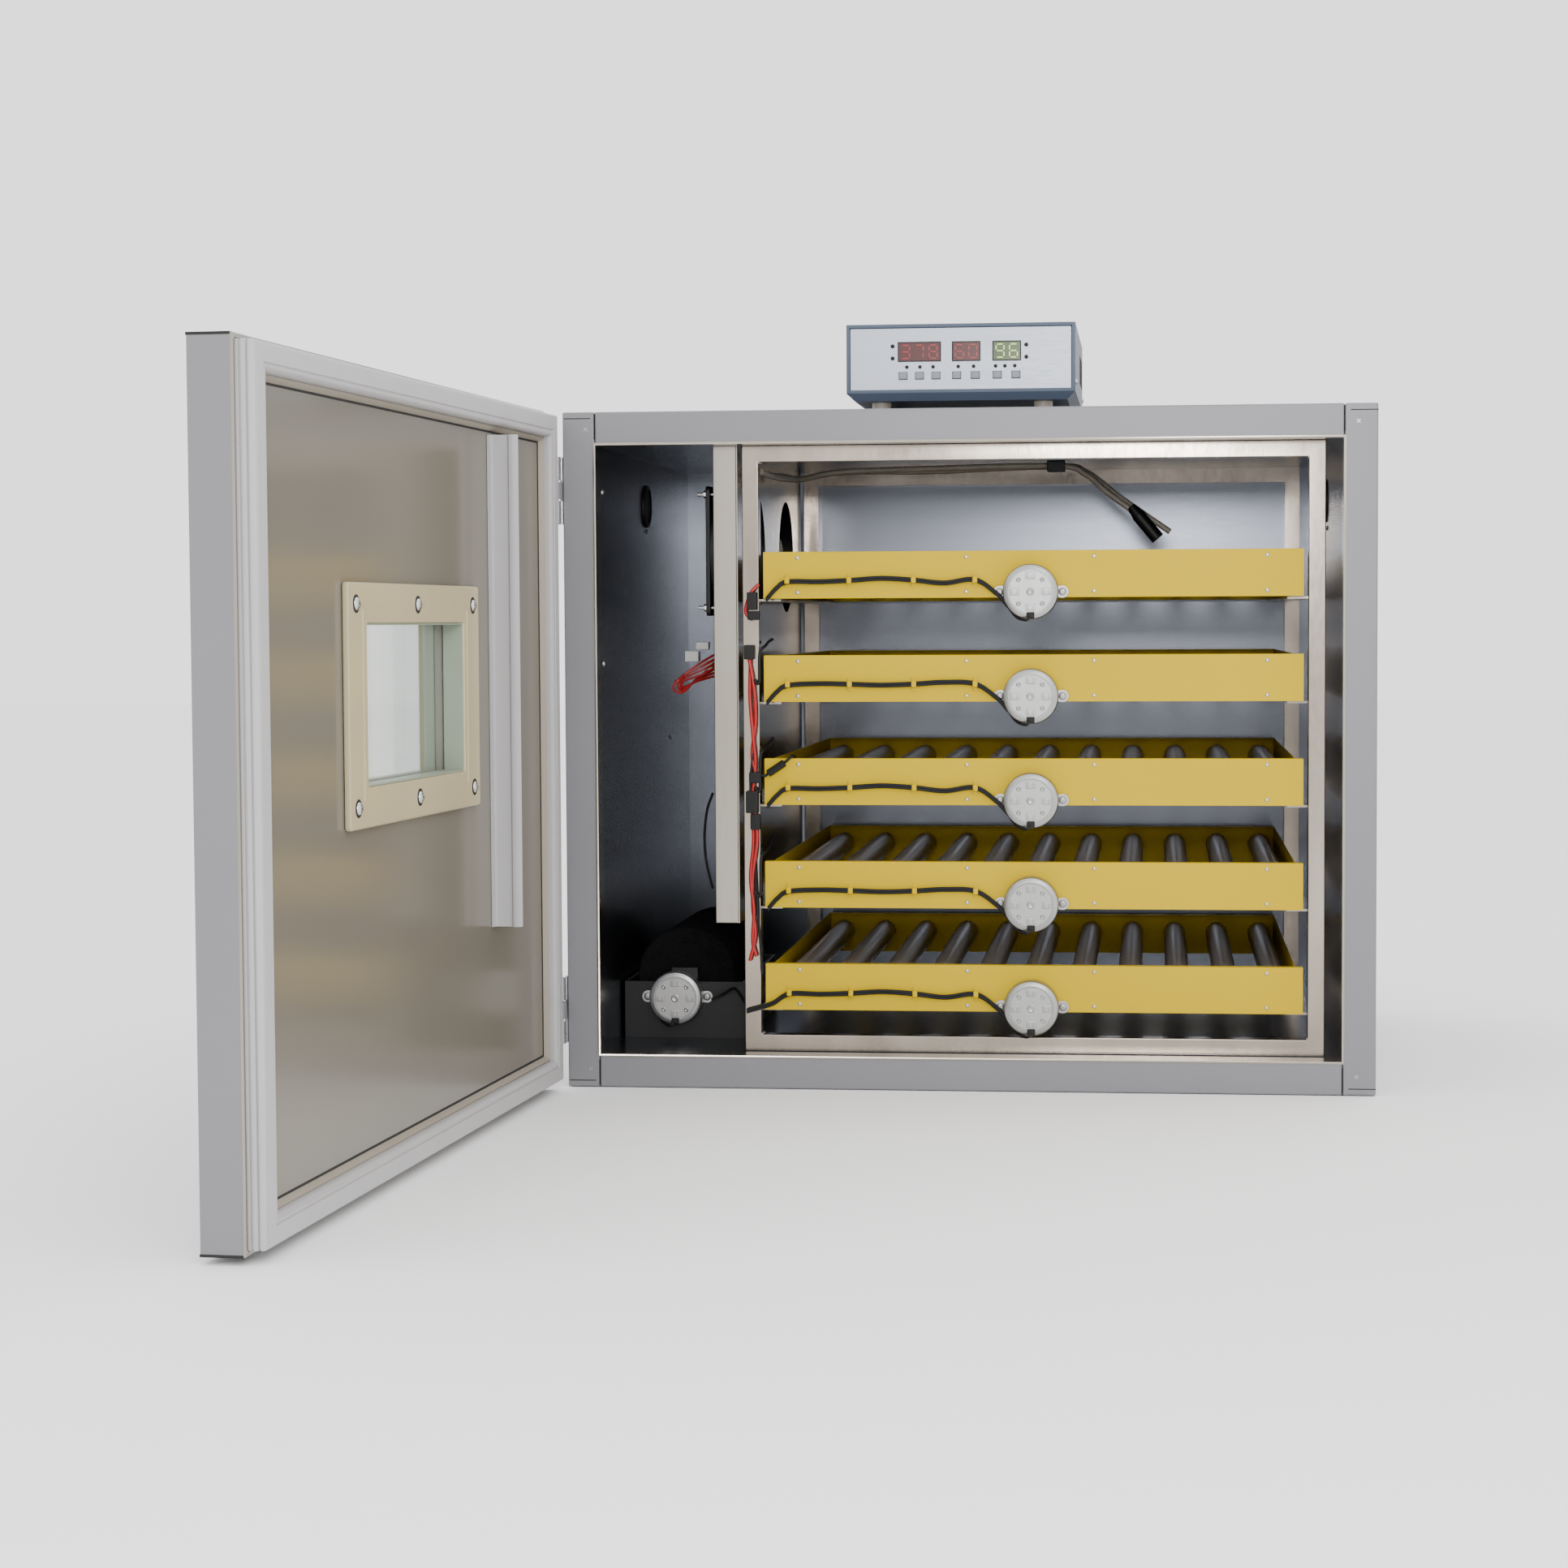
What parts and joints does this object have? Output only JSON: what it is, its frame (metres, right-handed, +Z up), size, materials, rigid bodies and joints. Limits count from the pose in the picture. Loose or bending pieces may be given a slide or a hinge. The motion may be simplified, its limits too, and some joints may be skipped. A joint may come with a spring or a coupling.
{
  "type": "egg incubator",
  "caption": "Insulated cabinet egg incubator with a glazed side-hinged door, pull-out roller trays with turning motors, fans, drum humidifier and a roof-top controller",
  "frame": {"origin": "the centre of the flat base on which the cabinet stands", "axes": "+X to the right seen from the front, +Y from the door side to the back, +Z up; the door stands open at rest, 94 degrees from closed"},
  "size_m": [0.8272, 1.2697, 0.689],
  "materials": {
    "painted_steel": "satin grey coating on insulated panels",
    "stainless": "bright rolled stainless",
    "tray_paint": "glossy yellow coating",
    "roller_plastic": "translucent grey-brown rollers",
    "motor_metal": "stamped, satin",
    "black_plastic": "moulded black",
    "black_foam": "wetted evaporator mat",
    "cable_rubber": "matt cable sheath",
    "controller_paint": "fine-textured blue-grey coating",
    "controller_face": "silver printed foil",
    "button_plastic": "grey keys",
    "liner_sheet": "high-gloss coated sheet",
    "vinyl": "soft extruded profile",
    "cream_plastic": "moulded cream plastic",
    "window_glass": "double glazing",
    "zinc": "zinc-plated steel",
    "red_wire": "red wire insulation",
    "white_plastic": "white connectors",
    "display_red": "dark red display lens",
    "display_green": "lit green display lens"
  },
  "bodies": {
    "cabinet": {"wall_left": "painted_steel", "wall_right": "painted_steel", "wall_top": "painted_steel", "wall_bottom": "painted_steel", "wall_back": "painted_steel", "front_post_left": "painted_steel", "front_post_right": "painted_steel", "front_rail_top": "painted_steel", "front_rail_bottom": "painted_steel", "rack_front_frame": "stainless", "rack_rear_frame": "stainless", "air_partition": "stainless", "fan_front_housing": "black_plastic", "fan_rear_housing": "black_plastic", "heater_element": "stainless", "humidifier_tank": "black_plastic", "humidifier_motor": "motor_metal", "wiring_harness": "cable_rubber", "controller_case": "controller_paint", "controller_panel": "controller_face", "door_hinge_top": "zinc", "door_hinge_bottom": "zinc"},
    "door": {"door_panel": "painted_steel", "door_liner": "liner_sheet", "door_gasket": "vinyl", "door_window_frame": "cream_plastic", "door_window_glazing": "window_glass", "door_seal_strip": "vinyl", "door_handle": "zinc"},
    "fan_front_rotor": {"fan_front_impeller": "black_plastic"},
    "fan_rear_rotor": {"fan_rear_impeller": "black_plastic"},
    "humidifier_rotor": {"humidifier_drum": "black_foam"},
    "tray_1": {"tray_1": "tray_paint", "tray_1_motor": "motor_metal"},
    "tray_2": {"tray_2": "tray_paint", "tray_2_motor": "motor_metal"},
    "tray_3": {"tray_3": "tray_paint", "tray_3_motor": "motor_metal"},
    "tray_4": {"tray_4": "tray_paint", "tray_4_motor": "motor_metal"},
    "tray_5": {"tray_5": "tray_paint", "tray_5_motor": "motor_metal"},
    "tray_1_roller_01_rotor": {"tray_1_roller_01": "roller_plastic"},
    "tray_1_roller_02_rotor": {"tray_1_roller_02": "roller_plastic"},
    "tray_1_roller_03_rotor": {"tray_1_roller_03": "roller_plastic"},
    "tray_1_roller_04_rotor": {"tray_1_roller_04": "roller_plastic"},
    "tray_1_roller_05_rotor": {"tray_1_roller_05": "roller_plastic"},
    "tray_1_roller_06_rotor": {"tray_1_roller_06": "roller_plastic"},
    "tray_1_roller_07_rotor": {"tray_1_roller_07": "roller_plastic"},
    "tray_1_roller_08_rotor": {"tray_1_roller_08": "roller_plastic"},
    "tray_1_roller_09_rotor": {"tray_1_roller_09": "roller_plastic"},
    "tray_1_roller_10_rotor": {"tray_1_roller_10": "roller_plastic"},
    "tray_1_roller_11_rotor": {"tray_1_roller_11": "roller_plastic"},
    "button_1": {"controller_button_1": "button_plastic"},
    "button_2": {"controller_button_2": "button_plastic"},
    "button_3": {"controller_button_3": "button_plastic"},
    "button_4": {"controller_button_4": "button_plastic"},
    "button_5": {"controller_button_5": "button_plastic"},
    "button_6": {"controller_button_6": "button_plastic"},
    "button_7": {"controller_button_7": "button_plastic"}
  },
  "joints": [
    {"name": "door_hinge", "type": "hinge", "parent": "cabinet", "child": "door", "pos_m": [-0.366, -0.278, 0.303], "axis": [0, 0, 1], "range_deg": [-66, 94]},
    {"name": "fan_front_spin", "type": "hinge", "parent": "cabinet", "child": "fan_front_rotor", "pos_m": [-0.23, -0.112, 0.484], "axis": [1, 0, 0], "continuous": true},
    {"name": "fan_rear_spin", "type": "hinge", "parent": "cabinet", "child": "fan_rear_rotor", "pos_m": [-0.23, 0.102, 0.484], "axis": [1, 0, 0], "continuous": true},
    {"name": "humidifier_spin", "type": "hinge", "parent": "cabinet", "child": "humidifier_rotor", "pos_m": [-0.271, -0.05, 0.086], "axis": [0, 1, 0], "continuous": true},
    {"name": "tray_1_slide", "type": "slide", "parent": "cabinet", "child": "tray_1", "axis": [0, 1, 0], "range_m": [-0.3, 0]},
    {"name": "tray_2_slide", "type": "slide", "parent": "cabinet", "child": "tray_2", "axis": [0, 1, 0], "range_m": [-0.3, 0]},
    {"name": "tray_3_slide", "type": "slide", "parent": "cabinet", "child": "tray_3", "axis": [0, 1, 0], "range_m": [-0.3, 0]},
    {"name": "tray_4_slide", "type": "slide", "parent": "cabinet", "child": "tray_4", "axis": [0, 1, 0], "range_m": [-0.3, 0]},
    {"name": "tray_5_slide", "type": "slide", "parent": "cabinet", "child": "tray_5", "axis": [0, 1, 0], "range_m": [-0.3, 0]},
    {"name": "tray_1_roller_01_spin", "type": "hinge", "parent": "tray_1", "child": "tray_1_roller_01_rotor", "pos_m": [-0.1605, -0.005, 0.463], "axis": [0, 1, 0], "continuous": true},
    {"name": "tray_1_roller_02_spin", "type": "hinge", "parent": "tray_1", "child": "tray_1_roller_02_rotor", "pos_m": [-0.117, -0.005, 0.463], "axis": [0, 1, 0], "continuous": true},
    {"name": "tray_1_roller_03_spin", "type": "hinge", "parent": "tray_1", "child": "tray_1_roller_03_rotor", "pos_m": [-0.0735, -0.005, 0.463], "axis": [0, 1, 0], "continuous": true},
    {"name": "tray_1_roller_04_spin", "type": "hinge", "parent": "tray_1", "child": "tray_1_roller_04_rotor", "pos_m": [-0.03, -0.005, 0.463], "axis": [0, 1, 0], "continuous": true},
    {"name": "tray_1_roller_05_spin", "type": "hinge", "parent": "tray_1", "child": "tray_1_roller_05_rotor", "pos_m": [0.0135, -0.005, 0.463], "axis": [0, 1, 0], "continuous": true},
    {"name": "tray_1_roller_06_spin", "type": "hinge", "parent": "tray_1", "child": "tray_1_roller_06_rotor", "pos_m": [0.057, -0.005, 0.463], "axis": [0, 1, 0], "continuous": true},
    {"name": "tray_1_roller_07_spin", "type": "hinge", "parent": "tray_1", "child": "tray_1_roller_07_rotor", "pos_m": [0.1005, -0.005, 0.463], "axis": [0, 1, 0], "continuous": true},
    {"name": "tray_1_roller_08_spin", "type": "hinge", "parent": "tray_1", "child": "tray_1_roller_08_rotor", "pos_m": [0.144, -0.005, 0.463], "axis": [0, 1, 0], "continuous": true},
    {"name": "tray_1_roller_09_spin", "type": "hinge", "parent": "tray_1", "child": "tray_1_roller_09_rotor", "pos_m": [0.1875, -0.005, 0.463], "axis": [0, 1, 0], "continuous": true},
    {"name": "tray_1_roller_10_spin", "type": "hinge", "parent": "tray_1", "child": "tray_1_roller_10_rotor", "pos_m": [0.231, -0.005, 0.463], "axis": [0, 1, 0], "continuous": true},
    {"name": "tray_1_roller_11_spin", "type": "hinge", "parent": "tray_1", "child": "tray_1_roller_11_rotor", "pos_m": [0.2745, -0.005, 0.463], "axis": [0, 1, 0], "continuous": true},
    {"name": "button_1_press", "type": "slide", "parent": "cabinet", "child": "button_1", "axis": [0, 1, 0], "range_m": [0, 0.0014], "stiffness_N_per_m": 300},
    {"name": "button_2_press", "type": "slide", "parent": "cabinet", "child": "button_2", "axis": [0, 1, 0], "range_m": [0, 0.0014], "stiffness_N_per_m": 300},
    {"name": "button_3_press", "type": "slide", "parent": "cabinet", "child": "button_3", "axis": [0, 1, 0], "range_m": [0, 0.0014], "stiffness_N_per_m": 300},
    {"name": "button_4_press", "type": "slide", "parent": "cabinet", "child": "button_4", "axis": [0, 1, 0], "range_m": [0, 0.0014], "stiffness_N_per_m": 300},
    {"name": "button_5_press", "type": "slide", "parent": "cabinet", "child": "button_5", "axis": [0, 1, 0], "range_m": [0, 0.0014], "stiffness_N_per_m": 300},
    {"name": "button_6_press", "type": "slide", "parent": "cabinet", "child": "button_6", "axis": [0, 1, 0], "range_m": [0, 0.0014], "stiffness_N_per_m": 300},
    {"name": "button_7_press", "type": "slide", "parent": "cabinet", "child": "button_7", "axis": [0, 1, 0], "range_m": [0, 0.0014], "stiffness_N_per_m": 300}
  ],
  "couplings": [
    {"joint": "tray_1_roller_02_spin", "follows": "tray_1_roller_01_spin", "ratio": 1},
    {"joint": "tray_1_roller_03_spin", "follows": "tray_1_roller_01_spin", "ratio": 1},
    {"joint": "tray_1_roller_04_spin", "follows": "tray_1_roller_01_spin", "ratio": 1},
    {"joint": "tray_1_roller_05_spin", "follows": "tray_1_roller_01_spin", "ratio": 1},
    {"joint": "tray_1_roller_06_spin", "follows": "tray_1_roller_01_spin", "ratio": 1},
    {"joint": "tray_1_roller_07_spin", "follows": "tray_1_roller_01_spin", "ratio": 1},
    {"joint": "tray_1_roller_08_spin", "follows": "tray_1_roller_01_spin", "ratio": 1},
    {"joint": "tray_1_roller_09_spin", "follows": "tray_1_roller_01_spin", "ratio": 1},
    {"joint": "tray_1_roller_10_spin", "follows": "tray_1_roller_01_spin", "ratio": 1},
    {"joint": "tray_1_roller_11_spin", "follows": "tray_1_roller_01_spin", "ratio": 1}
  ]
}
